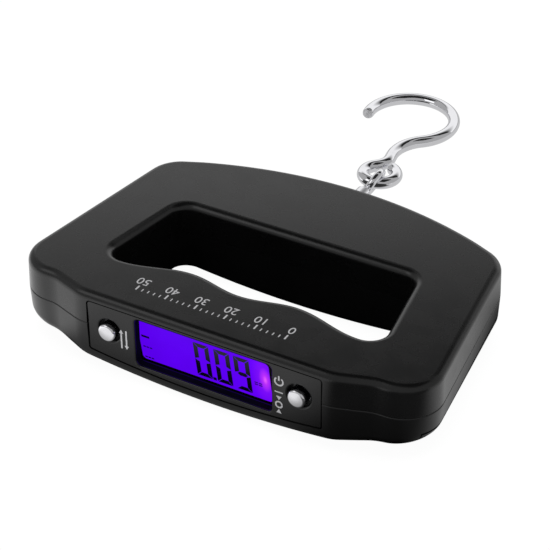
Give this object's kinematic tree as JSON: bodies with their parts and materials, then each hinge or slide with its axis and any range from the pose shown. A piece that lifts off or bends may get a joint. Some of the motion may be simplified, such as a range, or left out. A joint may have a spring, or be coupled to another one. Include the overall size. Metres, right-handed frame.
{
  "type": "digital luggage scale",
  "caption": "Hand-held digital luggage scale: black D-shaped body with a finger-grip window, lit display, push buttons and a swivelling wire hook.",
  "frame": {"origin": "on the underside's flat foot, midway across the body's width and straight below the middle of the load cell", "axes": "+Z out of the printed face, -Y out of the display edge, +Y towards the hook, +X to the power button's side"},
  "size_m": [0.1346, 0.1665, 0.0255],
  "materials": {
    "shell_top": "satin black moulded ABS",
    "shell_bottom": "satin black moulded ABS",
    "panel": "smooth black moulded ABS",
    "screw_steel": "zinc-plated steel",
    "display": "display glass lit blue-violet from behind",
    "guide": "clear acrylic light guide",
    "led": "white moulded package",
    "zebra": "conductive silicone strip",
    "board": "green solder mask",
    "epoxy": "black epoxy",
    "button_chrome": "chrome-plated cap",
    "plunger": "black nylon",
    "switch_body": "moulded housing",
    "cell_alloy": "machined aluminium",
    "gauge_foil": "foil on polyimide",
    "cable_grey": "grey PVC",
    "plated_steel": "polished nickel-plated steel wire",
    "battery_wrap": "printed film wrap",
    "spring_steel": "nickel-plated spring steel",
    "lead_red": "red PVC",
    "lead_black": "black PVC",
    "lead_yellow": "yellow PVC"
  },
  "bodies": {
    "body": {"front_shell": "shell_top", "rear_shell": "shell_bottom", "case_screws": "screw_steel", "display_panel": "panel", "lcd_glass": "display", "light_guide": "guide", "backlight_led": "led", "lcd_connector": "zebra", "main_board": "board", "controller_chip": "epoxy", "board_screws": "screw_steel", "unit_switch": "switch_body", "power_switch": "switch_body", "load_cell": "cell_alloy", "left_strain_gauge": "gauge_foil", "right_strain_gauge": "gauge_foil", "load_cell_screws": "screw_steel", "sensor_cable": "cable_grey", "left_battery": "battery_wrap", "right_battery": "battery_wrap", "left_positive_contact": "spring_steel", "left_negative_contact": "spring_steel", "right_positive_contact": "spring_steel", "right_negative_contact": "spring_steel", "left_battery_lead": "lead_red", "right_battery_lead": "lead_black", "battery_link_lead": "lead_yellow"},
    "unit_button": {"unit_button": "button_chrome", "unit_plunger": "plunger"},
    "power_button": {"power_button": "button_chrome", "power_plunger": "plunger"},
    "eye_bolt": {"eye_bolt": "plated_steel", "bolt_washer": "plated_steel", "bolt_nut": "plated_steel"},
    "hook": {"hook": "plated_steel"},
    "left_battery_door": {"left_battery_door": "shell_bottom"},
    "right_battery_door": {"right_battery_door": "shell_bottom"}
  },
  "joints": [
    {"name": "unit_press", "type": "slide", "parent": "body", "child": "unit_button", "axis": [0, 1, 0], "range_m": [0, 0.0005], "stiffness_N_per_m": 400, "springref_m": -0.0002},
    {"name": "power_press", "type": "slide", "parent": "body", "child": "power_button", "axis": [0, 1, 0], "range_m": [0, 0.0005], "stiffness_N_per_m": 400, "springref_m": -0.0002},
    {"name": "eye_swivel", "type": "hinge", "parent": "body", "child": "eye_bolt", "pos_m": [0, 0.0319, 0.0175], "axis": [0, 1, 0], "continuous": true},
    {"name": "hook_swing", "type": "hinge", "parent": "eye_bolt", "child": "hook", "pos_m": [-0.0007, 0.0372, 0.0175], "axis": [0, 0, 1], "range_deg": [-80, 58]},
    {"name": "left_door_slide", "type": "slide", "parent": "body", "child": "left_battery_door", "axis": [-1, 0, 0], "range_m": [0, 0.024]},
    {"name": "right_door_slide", "type": "slide", "parent": "body", "child": "right_battery_door", "axis": [1, 0, 0], "range_m": [0, 0.024]}
  ]
}
